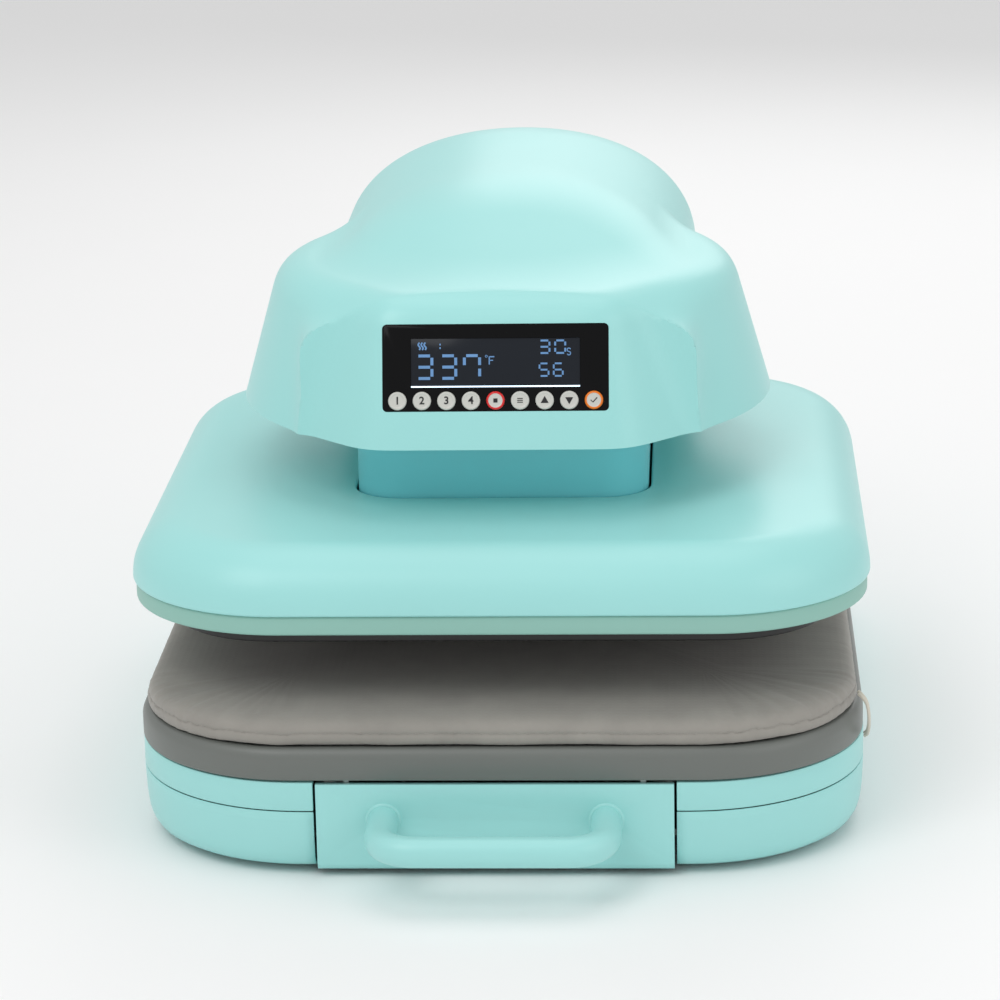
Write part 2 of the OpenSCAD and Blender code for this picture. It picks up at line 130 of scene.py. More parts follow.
def tinted(nodes, links, shader, colour, spread, scale, detail=3.0):
    """Base colour that drifts a little over the surface."""
    coordinates = nodes.new("ShaderNodeTexCoord")
    texture = nodes.new("ShaderNodeTexNoise")
    texture.inputs["Scale"].default_value = scale
    texture.inputs["Detail"].default_value = detail
    ramp = nodes.new("ShaderNodeValToRGB")
    dark = tuple(c * (1 - spread) for c in colour)
    light = tuple(min(1.0, c * (1 + spread)) for c in colour)
    ramp.color_ramp.elements[0].color = (*dark, 1)
    ramp.color_ramp.elements[0].position = 0.3
    ramp.color_ramp.elements[1].color = (*light, 1)
    ramp.color_ramp.elements[1].position = 0.7
    links.new(coordinates.outputs["Object"], texture.inputs["Vector"])
    links.new(texture.outputs["Fac"], ramp.inputs["Fac"])
    links.new(ramp.outputs["Color"], shader.inputs["Base Color"])
    return coordinates


def grain(nodes, links, shader, coordinates, scale, distance, rough_low, rough_high):
    """Fine bump and uneven gloss."""
    fine = nodes.new("ShaderNodeTexNoise")
    fine.inputs["Scale"].default_value = scale
    fine.inputs["Detail"].default_value = 4.0
    bump = nodes.new("ShaderNodeBump")
    bump.inputs["Distance"].default_value = distance
    bump.inputs["Strength"].default_value = 0.6
    gloss = nodes.new("ShaderNodeTexNoise")
    gloss.inputs["Scale"].default_value = 9.0
    spread = nodes.new("ShaderNodeMapRange")
    spread.inputs["To Min"].default_value = rough_low
    spread.inputs["To Max"].default_value = rough_high
    links.new(coordinates.outputs["Object"], fine.inputs["Vector"])
    links.new(coordinates.outputs["Object"], gloss.inputs["Vector"])
    links.new(fine.outputs["Fac"], bump.inputs["Height"])
    links.new(bump.outputs["Normal"], shader.inputs["Normal"])
    links.new(gloss.outputs["Fac"], spread.inputs["Value"])
    links.new(spread.outputs["Result"], shader.inputs["Roughness"])


def plastic(name, colour, rough=(0.32, 0.42), scale=900, distance=0.00006, spread=0.02, coat=0.0, specular=0.5):
    material, nodes, links, shader = new_material(name)
    coordinates = tinted(nodes, links, shader, colour, spread, 6.0)
    grain(nodes, links, shader, coordinates, scale, distance, *rough)
    shader.inputs["Coat Weight"].default_value = coat
    shader.inputs["Coat Roughness"].default_value = 0.12
    shader.inputs["Specular IOR Level"].default_value = specular
    return material


def metal(name, colour, rough=(0.25, 0.4), scale=350, distance=0.00004, spread=0.06):
    material, nodes, links, shader = new_material(name)
    coordinates = tinted(nodes, links, shader, colour, spread, 14.0)
    grain(nodes, links, shader, coordinates, scale, distance, *rough)
    shader.inputs["Metallic"].default_value = 1.0
    return material


def glow(name, colour, strength):
    material, nodes, links, shader = new_material(name)
    coordinates = tinted(nodes, links, shader, colour, 0.12, 120.0)
    grain(nodes, links, shader, coordinates, 300, 0.00002, 0.3, 0.5)
    shader.inputs["Emission Color"].default_value = (*colour, 1)
    shader.inputs["Emission Strength"].default_value = strength
    return material


def floor_material():
    material, nodes, links, shader = new_material("floor")
    coordinates = tinted(nodes, links, shader, (0.95, 0.95, 0.95), 0.004, 2.0)
    grain(nodes, links, shader, coordinates, 60, 0.00005, 0.6, 0.7)
    return material


def cloth_material(name, colour, thread):
    """Plain weave: two crossed sets of threads as bump, with slubs and a faint lint."""
    material, nodes, links, shader = new_material(name)
    coordinates = tinted(nodes, links, shader, colour, 0.07, 38.0, 6.0)
    bands = []
    for direction in ("X", "Y"):
        wave = nodes.new("ShaderNodeTexWave")
        wave.bands_direction = direction
        wave.inputs["Scale"].default_value = 1.0 / thread / 20
        wave.inputs["Distortion"].default_value = 0.6
        wave.inputs["Detail"].default_value = 1.0
        links.new(coordinates.outputs["Object"], wave.inputs["Vector"])
        bands.append(wave)
    crossed = nodes.new("ShaderNodeMath")
    crossed.operation = "MAXIMUM"
    links.new(bands[0].outputs["Fac"], crossed.inputs[0])
    links.new(bands[1].outputs["Fac"], crossed.inputs[1])
    bump = nodes.new("ShaderNodeBump")
    bump.inputs["Distance"].default_value = 0.00012
    bump.inputs["Strength"].default_value = 0.5
    slub = nodes.new("ShaderNodeTexNoise")
    slub.inputs["Scale"].default_value = 260
    slub.inputs["Detail"].default_value = 5
    second = nodes.new("ShaderNodeBump")
    second.inputs["Distance"].default_value = 0.00015
    second.inputs["Strength"].default_value = 0.4
    links.new(coordinates.outputs["Object"], slub.inputs["Vector"])
    links.new(crossed.outputs["Value"], bump.inputs["Height"])
    links.new(slub.outputs["Fac"], second.inputs["Height"])
    links.new(bump.outputs["Normal"], second.inputs["Normal"])
    links.new(second.outputs["Normal"], shader.inputs["Normal"])
    shader.inputs["Roughness"].default_value = 0.86
    shader.inputs["Sheen Weight"].default_value = 0.25
    shader.inputs["Sheen Roughness"].default_value = 0.5
    return material


TURQUOISE = (0.36, 0.74, 0.72)
MATERIALS = {
    "shell": plastic("turquoise_plastic", TURQUOISE, rough=(0.30, 0.40), spread=0.015),
    "skirt": plastic("skirt_plastic", (0.28, 0.53, 0.46), rough=(0.42, 0.55)),
    "trim": plastic("grey_plastic", (0.155, 0.167, 0.155), rough=(0.33, 0.45), spread=0.03),
    "steel": metal("plated_steel", (0.60, 0.60, 0.59)),
    "shaft": metal("ground_steel", (0.68, 0.68, 0.69), rough=(0.12, 0.22)),
    "bronze": metal("sintered_bronze", (0.55, 0.36, 0.16), rough=(0.35, 0.5)),
    "motor_black": plastic("black_paint", (0.03, 0.03, 0.032), rough=(0.45, 0.6), scale=500),
    "platen_black": plastic("non_stick_black", (0.012, 0.012, 0.012), rough=(0.35, 0.5), scale=420, spread=0.1),
    "platen_bare": metal("cast_aluminium", (0.62, 0.62, 0.62), rough=(0.4, 0.55)),
    "insulation": plastic("fibre_board", (0.62, 0.55, 0.38), rough=(0.8, 0.95), scale=300, distance=0.0003),
    "heater": plastic("mica_sheet", (0.45, 0.34, 0.18), rough=(0.4, 0.6), scale=250),
    "black_plastic": plastic("black_plastic", (0.018, 0.018, 0.02), rough=(0.32, 0.45), scale=700),
    "bezel": plastic("bezel_acrylic", (0.004, 0.004, 0.0045), rough=(0.10, 0.16), scale=200,
                     distance=0.00001, specular=0.12),
    "lcd": plastic("display_glass", (0.012, 0.015, 0.021), rough=(0.12, 0.2), scale=250,
                   distance=0.00001, specular=0.2),
    "key_silver": plastic("key_silver", (0.60, 0.60, 0.56), rough=(0.25, 0.35), scale=500),
    "board_green": plastic("circuit_board", (0.02, 0.16, 0.07), rough=(0.35, 0.5), scale=300),
    "rubber": plastic("rubber", (0.02, 0.02, 0.02), rough=(0.7, 0.85), scale=400, distance=0.0001),
    "silicone": plastic("silicone_foam", (0.55, 0.53, 0.50), rough=(0.6, 0.75), scale=350, distance=0.0002),
    "fabric": cloth_material("taupe_weave", (0.305, 0.29, 0.262), 0.0007),
    "cord": cloth_material("drawstring_cotton", (0.66, 0.62, 0.53), 0.0004),
    "rocker_red": plastic("rocker_red", (0.40, 0.02, 0.015), rough=(0.25, 0.35), coat=0.3),
}
NECK = plastic("neck_plastic", (0.20, 0.68, 0.74), rough=(0.32, 0.42), spread=0.02)
LEGEND = plastic("legend_black", (0.01, 0.01, 0.012), rough=(0.4, 0.5), spread=0.05)
RED_RING = plastic("ring_red", (0.70, 0.02, 0.02), rough=(0.25, 0.35), spread=0.05)
ORANGE_RING = plastic("ring_orange", (0.85, 0.20, 0.01), rough=(0.25, 0.35), spread=0.05)
SEGMENT = glow("segment_blue", (0.10, 0.22, 0.42), 0.35)
BACKLIGHT = glow("backlight_line", (0.62, 0.80, 1.0), 1.6)
SLOT_OF = {s["node"]: s["material_slot"] for s in frame["record"]["subparts"]}


# ---------------------------------------------------------------- mesh helpers

def rounded(w, d, r, cx=0.0, cy=0.0, per_corner=16, per_side=1):
    """Points round a rounded rectangle, from the right of the front side, anticlockwise from above."""
    points = []
    corners = [(1, -1, -90), (1, 1, 0), (-1, 1, 90), (-1, -1, 180)]
    for sx, sy, start in corners:
        x, y = cx + sx * (w / 2 - r), cy + sy * (d / 2 - r)
        for i in range(per_corner + 1):
            a = math.radians(start + 90 * i / per_corner)
            points.append((x + r * math.cos(a), y + r * math.sin(a)))
    if per_side == 1:
        return points
    filled = []
    for i, p in enumerate(points):
        q = points[(i + 1) % len(points)]
        long_side = i % (per_corner + 1) == per_corner
        for k in range(per_side if long_side else 1):
            t = k / (per_side if long_side else 1)
            filled.append((p[0] + (q[0] - p[0]) * t, p[1] + (q[1] - p[1]) * t))
    return filled


def add_mesh(name, points, faces, smooth_angle=40):
    mesh = bpy.data.meshes.new(name)
    mesh.from_pydata([tuple(p) for p in points], [], faces)
    mesh.validate()
    mesh.update()
    mesh.shade_smooth()
    mesh.set_sharp_from_angle(angle=math.radians(smooth_angle))
    piece = bpy.data.objects.new(name, mesh)
    bpy.context.scene.collection.objects.link(piece)
    return piece


def loft(name, rings, cap_first=False, cap_last=False, cyclic=False, closed=True, smooth_angle=40):
    """Quads between rings that all have the same number of points."""
    n = len(rings[0])
    points = [p for ring in rings for p in ring]
    spans = len(rings) if cyclic else len(rings) - 1
    around = n if closed else n - 1
    faces = []
    for i in range(spans):
        a, b = i * n, (i + 1) % len(rings) * n
        for k in range(around):
            j = (k + 1) % n
            faces.append((a + k, a + j, b + j, b + k))
    if cap_first:
        faces.append(tuple(range(n - 1, -1, -1)))
    if cap_last:
        faces.append(tuple((len(rings) - 1) * n + k for k in range(n)))
    return add_mesh(name, points, faces, smooth_angle)


def finish_piece(piece, body, slot, nodes=(), material=None):
    if not piece.data.materials:
        piece.data.materials.append(material or MATERIALS[slot])
    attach(piece, body)
    if nodes:
        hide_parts(*nodes)
    return piece


def apply_modifiers(piece):
    """Turns the modified shape into plain mesh data."""
    graph = bpy.context.evaluated_depsgraph_get()
    graph.update()
    old = piece.data
    new = bpy.data.meshes.new_from_object(piece.evaluated_get(graph))
    piece.modifiers.clear()
    piece.data = new
    new.name = old.name


def solidify(piece, thickness, even=True):
    modifier = piece.modifiers.new("wall", "SOLIDIFY")
    modifier.thickness = thickness
    modifier.offset = -1.0
    modifier.use_even_offset = even
    apply_modifiers(piece)


def body_of_node(node):
    for body, members in frame["record"]["behaviour"]["bodies"].items():
        if node in members:
            return body


def refined(node, bevel, segments=3, angle=32, material=None):
    """A CAD piece rebuilt with rounded edges, standing for its node."""
    source = frame["nodes"][node]
    mesh = source.data.copy()
    build = bmesh.new()
    build.from_mesh(mesh)
    bmesh.ops.remove_doubles(build, verts=build.verts, dist=0.00002)
    bmesh.ops.dissolve_limit(build, angle_limit=math.radians(0.5), verts=build.verts, edges=build.edges)
    build.to_mesh(mesh)
    build.free()
    mesh.materials.clear()
    piece = bpy.data.objects.new(node + "_shape", mesh)
    bpy.context.scene.collection.objects.link(piece)
    modifier = piece.modifiers.new("edges", "BEVEL")
    modifier.width = bevel
    modifier.segments = segments
    modifier.limit_method = "ANGLE"
    modifier.angle_limit = math.radians(angle)
    modifier.use_clamp_overlap = True
    apply_modifiers(piece)
    piece.data.shade_smooth()
    piece.data.set_sharp_from_angle(angle=math.radians(48))
    return finish_piece(piece, body_of_node(node), SLOT_OF[node], [node], material)


def tube(name, path, radius, sides=24, scale=None):
    """A round tube along a path of points, with closed ends."""
    rings = []
    last_side = None
    for i, p in enumerate(path):
        before, after = path[max(0, i - 1)], path[min(len(path) - 1, i + 1)]
        along = (after - before).normalized()
        side = last_side or along.orthogonal().normalized()
        side = (side - along * side.dot(along)).normalized()
        last_side = side
        other = along.cross(side)
        r = radius * (scale[i] if scale else 1.0)
        rings.append([p + (side * math.cos(a) + other * math.sin(a)) * r
                      for a in (2 * math.pi * k / sides for k in range(sides))])
    return loft(name, rings, cap_first=True, cap_last=True)


def smooth_path(points, steps=8):
    """Catmull-Rom curve through the points."""
    p = [Vector(q) for q in points]
    p = [p[0] * 2 - p[1]] + p + [p[-1] * 2 - p[-2]]
    out = []
    for i in range(1, len(p) - 2):
        for k in range(steps):
            t = k / steps
            out.append(0.5 * ((2 * p[i]) + (p[i + 1] - p[i - 1]) * t
                              + (2 * p[i - 1] - 5 * p[i] + 4 * p[i + 1] - p[i + 2]) * t * t
                              + (3 * p[i] - p[i - 1] - 3 * p[i + 1] + p[i + 2]) * t ** 3))
    out.append(p[-2])
    return out


# ---------------------------------------------------------------- drawstring

STRING_ROUTES = {
    "drawstring_1": [(209, -178, 85), (211, -181, 84), (213.4, -184, 81), (214.4, -186, 76),
                     (214.6, -186, 71), (214.5, -184, 66), (214, -181, 62), (212.6, -179, 60)],
    "drawstring_2": [(209, -173, 85), (211, -176, 84), (213.4, -179, 81), (214.5, -181, 76),
                     (214.8, -181, 71), (214.6, -179, 66), (214, -176, 62), (212.6, -174, 60)],
}
STRING_RADIUS = 0.001


def make_drawstrings():
    for node, route in STRING_ROUTES.items():
        path = smooth_path([Vector(p) * MM for p in route])
        ply = []
        for i, p in enumerate(path):
            ply.append(1.0 - 0.06 * (i % 2))
        piece = tube(node + "_cord", path, STRING_RADIUS, sides=16, scale=ply)
        finish_piece(piece, "drawer", "cord", [node])


# ---------------------------------------------------------------- upper platen

def make_cover():
    """The upper platen's cover: a shell with a big rounded top edge and an opening for the neck."""
    low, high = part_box("platen_cover")
    w, d = high.x - low.x, high.y - low.y
    cy = (low.y + high.y) / 2
    corner, edge, wall = 0.094, 0.034, 0.003
    neck_low, neck_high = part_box("neck_front")[0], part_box("neck_rear")[1]
    open_w, open_d = neck_high.x - neck_low.x + 0.003, neck_high.y - neck_low.y + 0.003

    def ring(inset, z):
        return [Vector((x, y, z)) for x, y in
                rounded(w - 2 * inset, d - 2 * inset, corner - inset, 0, cy, 20, 6)]

    def mouth(grow, z):
        return [Vector((x, y, z)) for x, y in
                rounded(open_w + 2 * grow, open_d + 2 * grow, 0.0285 + grow, 0, cy, 20, 6)]

    rings = [ring(0.0012, low.z), ring(0.0003, low.z + 0.0004), ring(0, low.z + 0.0012)]
    steps = 18
    crown = 0.0008
    for i in range(steps + 1):
        a = math.radians(90 * i / steps)
        rings.append(ring(edge * (1 - math.cos(a)), high.z - crown - edge + edge * math.sin(a)))
    flat = ring(edge, high.z - crown)
    inner = mouth(0.0015, high.z)
    for t in (0.15, 0.35, 0.6, 0.85):
        rings.append([p.lerp(q, t) + Vector((0, 0, crown * (math.sin(t * math.pi / 2) - t)))
                      for p, q in zip(flat, inner)])
    rings += [inner, mouth(0.0004, high.z - 0.0003), mouth(0, high.z - 0.001), mouth(0, high.z - wall)]
    for t in (0.3, 0.7):
        rings.append([p.lerp(q, t) for p, q in zip(mouth(0, high.z - wall), ring(edge, high.z - wall))])
    for i in range(8, -1, -1):
        a = math.radians(90 * i / 8)
        rings.append(ring(wall + (edge - wall) * (1 - math.cos(a)), high.z - edge + (edge - wall) * math.sin(a)))
    rings.append(ring(wall, low.z))
    piece = loft("platen_cover_shell", rings, cyclic=True, smooth_angle=50)
    finish_piece(piece, "press", "shell", ["platen_cover"])


# ---------------------------------------------------------------- head and arm

def plan_radius(front):
    """Radius of the hood's plan by direction from its centre: a circle with a flat front."""
    centre_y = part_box("platen_cover")[0].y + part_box("platen_cover")[1].y
    centre_y /= 2
    big, small, off = HEAD_R, FACE_CORNER_R, FACE_CORNER_X
    angles = np.linspace(-np.pi, np.pi, 721)
    support = []
    for a in angles:
        ray = np.array([math.cos(a), math.sin(a)])
        reach = min(big, (front - centre_y) / ray[1]) if ray[1] < 0 else big
        c = np.array([off if ray[0] > 0 else -off, front + small - centre_y])
        b = ray @ c
        disc = b * b - (c @ c - small * small)
        if disc > 0:
            reach = max(reach, b + math.sqrt(disc))
        support.append(reach)
    reach = convex_reach(angles, np.array(support))
    spread = np.exp(-(np.arange(-16, 17) / 8.0) ** 2)
    padded_reach = np.concatenate([reach[-17:-1], reach, reach[1:17]])
    return angles, np.convolve(padded_reach, spread / spread.sum(), "valid"), centre_y


def convex_reach(angles, reach):
    """Fills the hollows of a polar outline, as a stretched band would."""
    points = np.stack([reach * np.cos(angles), reach * np.sin(angles)], 1)[:-1]
    build = bmesh.new()
    for x, y in points:
        build.verts.new((x, y, 0))
        build.verts.new((x, y, 0.01))
    hull = bmesh.ops.convex_hull(build, input=build.verts)
    keep = sorted({(round(v.co.x, 6), round(v.co.y, 6)) for v in hull["geom"]
                   if isinstance(v, bmesh.types.BMVert) and v.link_faces})
    build.free()
    ring = sorted(keep, key=lambda p: math.atan2(p[1], p[0]))
    ring_angles = np.array([math.atan2(p[1], p[0]) for p in ring])
    out = []
    for a in angles:
        j = np.searchsorted(ring_angles, a) % len(ring)
        p, q = np.array(ring[j - 1]), np.array(ring[j])
        ray = np.array([math.cos(a), math.sin(a)])
        edge = q - p
        denominator = ray[0] * edge[1] - ray[1] * edge[0]
        out.append((p[0] * edge[1] - p[1] * edge[0]) / denominator if abs(denominator) > 1e-12 else np.hypot(*p))
    return np.array(out)


def soft_max(a, b, k):
    h = np.clip(0.5 + 0.5 * (a - b) / k, 0, 1)
    return b * (1 - h) + a * h + k * h * (1 - h)


def soft_min(a, b, k):
    return -soft_max(-a, -b, k)


class Housing:
    """Signed field of the head and arm's outer surface: negative inside."""

    def __init__(self):
        low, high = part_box("top_housing")
        self.rim, self.top, self.rear = low.z, high.z, high.y
        self.front = low.y
        self.angles, self.reach, self.centre_y = plan_radius(self.front)
        self.ledge = self.rim + LEDGE_RISE
        self.crown_base = self.rim + CROWN_RISE
        self.nose_y = self.front + NOSE_SETBACK

    def hood(self, x, y, z):
        dy = y - self.centre_y
        reach = np.interp(np.arctan2(dy, x), self.angles, self.reach)
        side = (np.hypot(x, dy) - reach + (z - self.rim) * math.tan(DRAFT)) * math.cos(DRAFT)
        return soft_max(side, z - self.ledge, 0.018)

    def arm_body(self, x, y, z):
        spine = self.rear - ARM_R
        across = np.hypot(x, np.maximum(0, y - spine))
        rise = self.top - self.crown_base
        up = np.maximum(0, z - self.crown_base)
        power = 2.25
        shape = ((across / ARM_R) ** power + (up / rise) ** power) ** (1 / power)
        crown = (shape - 1) * 0.085
        slope = math.atan(1 / NOSE_RUN)
        sag = x * x / NOSE_SAG
        nose = (z - self.ledge) * math.cos(slope) - (y - self.nose_y - sag) * math.sin(slope)
        return np.maximum(soft_max(crown, nose, 0.010), self.nose_y - 0.008 - y)

    def field(self, p):
        x, y, z = p[:, 0], p[:, 1], p[:, 2]
        return soft_min(self.hood(x, y, z), self.arm_body(x, y, z), 0.010)


def project(points, field, rounds=6):
    """Moves points onto the field's zero surface."""
    step = 1e-5
    for _ in range(rounds):
        value = field(points)
        gradient = np.stack([(field(points + step * axis) - field(points - step * axis)) / (2 * step)
                             for axis in np.eye(3)], 1)
        length = np.maximum((gradient ** 2).sum(1), 1e-6)
        points = points - gradient * np.clip(value / length, -0.004, 0.004)[:, None]
    return points


def make_housing():
    """The hood and arm in one moulding, with soft blends, cut for the display."""
    housing = Housing()
    skirt = 0.006
    cell = HOUSING_CELL
    xs = np.arange(-0.170, 0.1701, cell)
    ys = np.arange(housing.front - 0.006, housing.rear + 0.006, cell)
    zs = np.arange(housing.rim - skirt, housing.top + 0.006, cell)
    points, faces = surface_cells(xs, ys, zs, housing.field)
    points = project(points, housing.field)
    piece = add_mesh("top_housing_shell", points, faces, 60)
    build = bmesh.new()
    build.from_mesh(piece.data)
    bmesh.ops.recalc_face_normals(build, faces=build.faces)
    bmesh.ops.bisect_plane(build, geom=build.verts[:] + build.edges[:] + build.faces[:], dist=1e-6,
                                 plane_co=(0, 0, housing.rim), plane_no=(0, 0, -1), clear_outer=True)
    bmesh.ops.remove_doubles(build, verts=build.verts, dist=0.0002)
    build.to_mesh(piece.data)
    build.free()
    piece.data.update()
    solidify(piece, HOUSING_WALL, even=False)
    opening = display_block("opening", 0.1310, 0.0506, -0.014, 0.02, 0.0027)
    modifier = piece.modifiers.new("display_cut", "BOOLEAN")
    modifier.object = opening
    modifier.solver = "EXACT"
    apply_modifiers(piece)
    bpy.data.objects.remove(opening)
    piece.data.shade_smooth()
    piece.data.set_sharp_from_angle(angle=math.radians(50))
    piece.data.materials.clear()
    finish_piece(piece, "root", "shell", ["top_housing"])


def surface_cells(xs, ys, zs, field):
    """Surface nets: one point in each cell that the surface crosses, and a quad across each crossed edge."""
    gx, gy, gz = np.meshgrid(xs, ys, zs, indexing="ij")
    flat = np.stack([gx.ravel(), gy.ravel(), gz.ravel()], 1)
    inside = np.concatenate([field(part) for part in np.array_split(flat, 40)]).reshape(gx.shape) < 0
    inside[:, :, 0] = inside[:, :, 1]
    corners = sum(inside[i:inside.shape[0] - 1 + i, j:inside.shape[1] - 1 + j, k:inside.shape[2] - 1 + k].astype(int)
                  for i in (0, 1) for j in (0, 1) for k in (0, 1))
    active = (corners > 0) & (corners < 8)
    index = -np.ones(active.shape, int)
    index[active] = np.arange(active.sum())
    cells = np.argwhere(active)
    half = (xs[1] - xs[0]) / 2
    points = np.stack([xs[cells[:, 0]], ys[cells[:, 1]], zs[cells[:, 2]]], 1) + half
    faces = []
    for axis in range(3):
        u, v = [a for a in range(3) if a != axis]
        first = np.take(inside, range(inside.shape[axis] - 1), axis)
        second = np.take(inside, range(1, inside.shape[axis]), axis)
        for cell in np.argwhere(first != second):
            if cell[u] < 1 or cell[v] < 1 or cell[u] >= active.shape[u] or cell[v] >= active.shape[v]:
                continue
            quad = []
            for du, dv in ((1, 1), (0, 1), (0, 0), (1, 0)):
                c = cell.copy()
                c[u] -= du
                c[v] -= dv
                quad.append(index[tuple(c)])
            if min(quad) >= 0:
                faces.append(tuple(int(q) for q in quad))
    return points, faces


# ---------------------------------------------------------------- display

def face_matrix():
    """Local X across the display face, Y up it, Z out of it, with its origin at the bezel's middle."""
    low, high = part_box("display_bezel")
    out = Vector((0, -math.cos(DRAFT), math.sin(DRAFT)))
    up = Vector((0, math.sin(DRAFT), math.cos(DRAFT)))
    middle = (low + high) / 2 + out * 0.001
    turn = Matrix((Vector((1, 0, 0)), up, out)).transposed().to_4x4()
    return Matrix.Translation(middle) @ turn


FACE = face_matrix()


def display_block(name, w, h, z0, z1, r):
    outline = rounded(w, h, r, 0, 0, 6)
    rings = [[FACE @ Vector((x, y, z)) for x, y in outline] for z in (z0, z1)]
    return loft(name, rings, cap_first=True, cap_last=True)


def stroke(points, width, z=0.0, thick=0.00012):
    """A flat raised stroke along points on the display face, as points and faces."""
    path = [Vector((x, y)) for x, y in points]
    left, right = [], []
    for i, p in enumerate(path):
        along = (path[min(i + 1, len(path) - 1)] - path[max(i - 1, 0)]).normalized()
        side = Vector((-along.y, along.x)) * width / 2
        left.append(p + side)
        right.append(p - side)
    loop = left + right[::-1]
    n = len(loop)
    verts = [FACE @ Vector((p.x, p.y, z)) for p in loop] + [FACE @ Vector((p.x, p.y, z + thick)) for p in loop]
    faces = [tuple(range(n, 2 * n)), tuple(range(n - 1, -1, -1))]
    faces += [(i, (i + 1) % n, n + (i + 1) % n, n + i) for i in range(n)]
    return verts, faces


def join_shapes(name, shapes):
    points, faces = [], []
    for verts, polygons in shapes:
        base = len(points)
        points += verts
        faces += [tuple(base + i for i in f) for f in polygons]
    return add_mesh(name, points, faces)


SEGMENTS = {
    "0": "abcdef", "1": "bc", "3": "abcdg", "5": "acdfg", "6": "acdefg", "7": "abcf",
}


def digit(character, x, y, w, h, width, z):
    """Seven-segment digit with its lower left corner at x, y."""
    g = width * 0.62
    top, middle, bottom = y + h, y + h / 2, y
    left, right = x, x + w
    lines = {
        "a": [(left + g, top), (right - g, top)], "g": [(left + g, middle), (right - g, middle)],
        "d": [(left + g, bottom), (right - g, bottom)], "f": [(left, top - g), (left, middle + g)],
        "b": [(right, top - g), (right, middle + g)], "e": [(left, middle - g), (left, bottom + g)],
        "c": [(right, middle - g), (right, bottom + g)],
    }
    return [stroke(lines[s], width, z) for s in SEGMENTS[character]]


def number(text, x, y, w, h, gap, width, z):
    shapes = []
    for i, character in enumerate(text):
        shapes += digit(character, x + i * (w + gap), y, w, h, width, z)
    return shapes


def make_display():
    """Glass, glowing digits and the backlight's bright lower edge."""
    refined("display_bezel", 0.0003, 2)
    refined("lcd_module", 0.0002, 2)
    z = GLASS_TOP + DIGIT_LIFT
    shapes = number("337", -0.0455, -0.0060, 0.0088, 0.0130, 0.0050, 0.0017, z)
    shapes += number("30", 0.0255, 0.0082, 0.0058, 0.0072, 0.0033, 0.0011, z)
    shapes += number("56", 0.0255, -0.0050, 0.0052, 0.0072, 0.0030, 0.0010, z)
    shapes += digit("1", -0.0345, 0.0105, 0.0026, 0.0040, 0.0008, z)
    shapes += [stroke([(-0.0035, 0.0065), (-0.0035, 0.0018)], 0.0007, z),
               stroke([(-0.0035, 0.0063), (-0.0006, 0.0063)], 0.0007, z),
               stroke([(-0.0035, 0.0042), (-0.0013, 0.0042)], 0.0006, z)]
    shapes += [stroke([(0.0425 + 0.0010 * math.cos(a), 0.0100 + 0.0010 * math.sin(a))
                       for a in np.linspace(0.3, 4.7, 9)], 0.0006, z),
               stroke([(0.0425 + 0.0010 * math.cos(a), 0.0080 + 0.0010 * math.sin(a))
                       for a in np.linspace(1.57, -2.8, 9)], 0.0006, z)]
    ring = [(-0.0052 + 0.0006 * math.cos(a), 0.0066 + 0.0006 * math.sin(a)) for a in np.linspace(0, 2 * math.pi, 13)]
    shapes.append(stroke(ring, 0.00035, z))
    for k in range(3):
        wave = [(-0.0440 + 0.0017 * k + 0.0006 * math.sin(t * 2.2), 0.0105 + 0.0042 * t / 3)
                for t in np.linspace(0, 3, 9)]
        shapes.append(stroke(wave, 0.0009, z))
    digits = join_shapes("display_digits", shapes)
    digits.data.materials.append(SEGMENT)
    finish_piece(digits, "root", "lcd")
    line = join_shapes("display_backlight", [stroke([(-0.0488, -0.01085), (0.0488, -0.01085)], 0.0008, z)])
    line.data.materials.append(BACKLIGHT)
    finish_piece(line, "root", "lcd")


KEY_COUNT = 9
KEY_PITCH = 0.0142
KEY_ROW = -0.019
KEY_R = 0.00535


def key_profile():
    """Radius and height of a key: a dished cap with a raised rim."""
    return [(0.0, 0.00072), (0.0030, 0.00070), (0.0038, 0.00072), (0.0041, 0.00092), (0.0044, 0.00100),
            (0.0048, 0.00096), (0.0051, 0.00070), (KEY_R, 0.00020), (KEY_R, -0.0026)]


def legend_shapes(i, cx, z):
    """Plain symbols: a square to stop, three bars to set, up, down, and a tick to enter."""
    def at(points):
        return [(cx + x, KEY_ROW + y) for x, y in points]
    if i == 4:
        return [stroke(at([(-0.0012, 0), (0.0012, 0)]), 0.0024, z)]
    if i == 5:
        return [stroke(at([(-0.0016, y), (0.0016, y)]), 0.0005, z) for y in (-0.0011, 0, 0.0011)]
    if i in (6, 7):
        s = 1 if i == 6 else -1
        tip = [(0, 0.0024 * s), (-0.0023, -0.0016 * s), (0.0023, -0.0016 * s)]
        verts = [FACE @ Vector((cx + x, KEY_ROW + y, h)) for h in (z, z + 0.00012) for x, y in tip]
        order = [(3, 4, 5), (2, 1, 0), (0, 1, 4, 3), (1, 2, 5, 4), (2, 0, 3, 5)]
        return [(verts, order)]
    if i == 8:
        return [stroke(at([(-0.0018, 0.0000), (-0.0006, -0.0013), (0.0019, 0.0014)]), 0.0006, z)]
    return []


